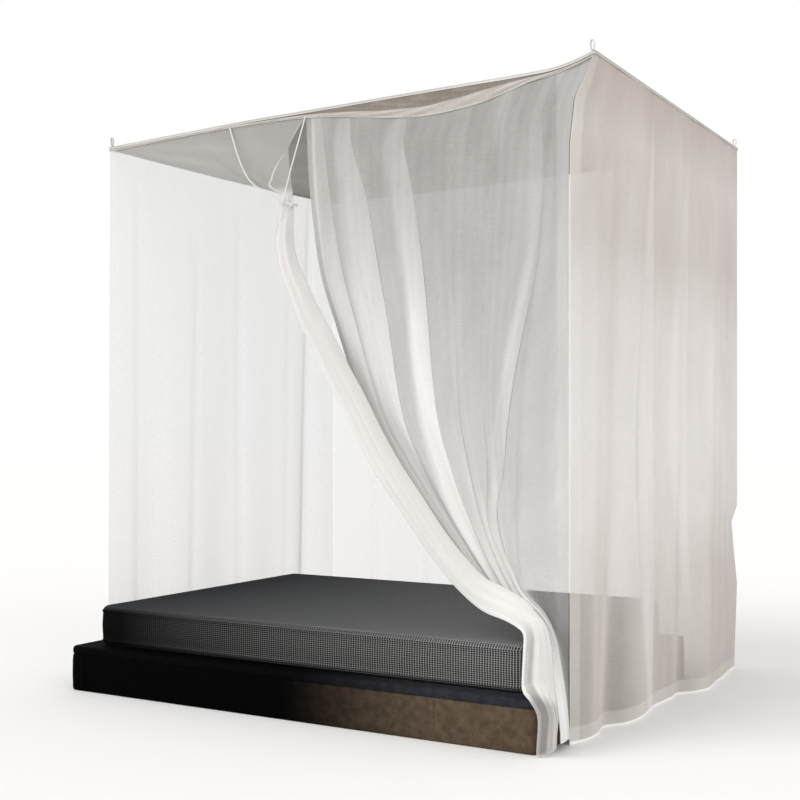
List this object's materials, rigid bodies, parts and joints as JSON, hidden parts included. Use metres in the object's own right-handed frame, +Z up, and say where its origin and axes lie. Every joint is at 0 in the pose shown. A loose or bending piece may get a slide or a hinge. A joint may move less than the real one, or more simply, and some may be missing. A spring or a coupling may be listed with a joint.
{
  "type": "mosquito net canopy over a platform bed",
  "caption": "Box-shaped mosquito net hung over a low platform bed, its open side gathered in a tie and swept over the foot corner of the bed to the floor.",
  "frame": {"origin": "on the floor, below the middle of the whole part's bounding box", "axes": "+Z up, +X toward the foot of the bed, -Y toward the near side, where the net opens"},
  "size_m": [2.4243, 2.0529, 2.4393],
  "materials": {
    "net": "sheer fine mesh, matte",
    "tape": "woven cotton tape, matte",
    "platform": "grained, satin",
    "mattress_cover": "plain weave, matte"
  },
  "bodies": {
    "root": {"roof_panel": "net", "foot_wall": "net", "far_wall": "net", "head_wall": "net", "near_curtain_foot": "net", "near_curtain_head": "net", "near_top_band": "net", "tie_tape_middle": "tape", "tie_tape_head": "tape", "tie_band": "tape", "tie_tail": "tape", "corner_loop_near_foot": "tape", "corner_loop_far_foot": "tape", "corner_loop_near_head": "tape", "corner_loop_far_head": "tape", "bed_base": "platform", "mattress": "mattress_cover"}
  },
  "joints": []
}
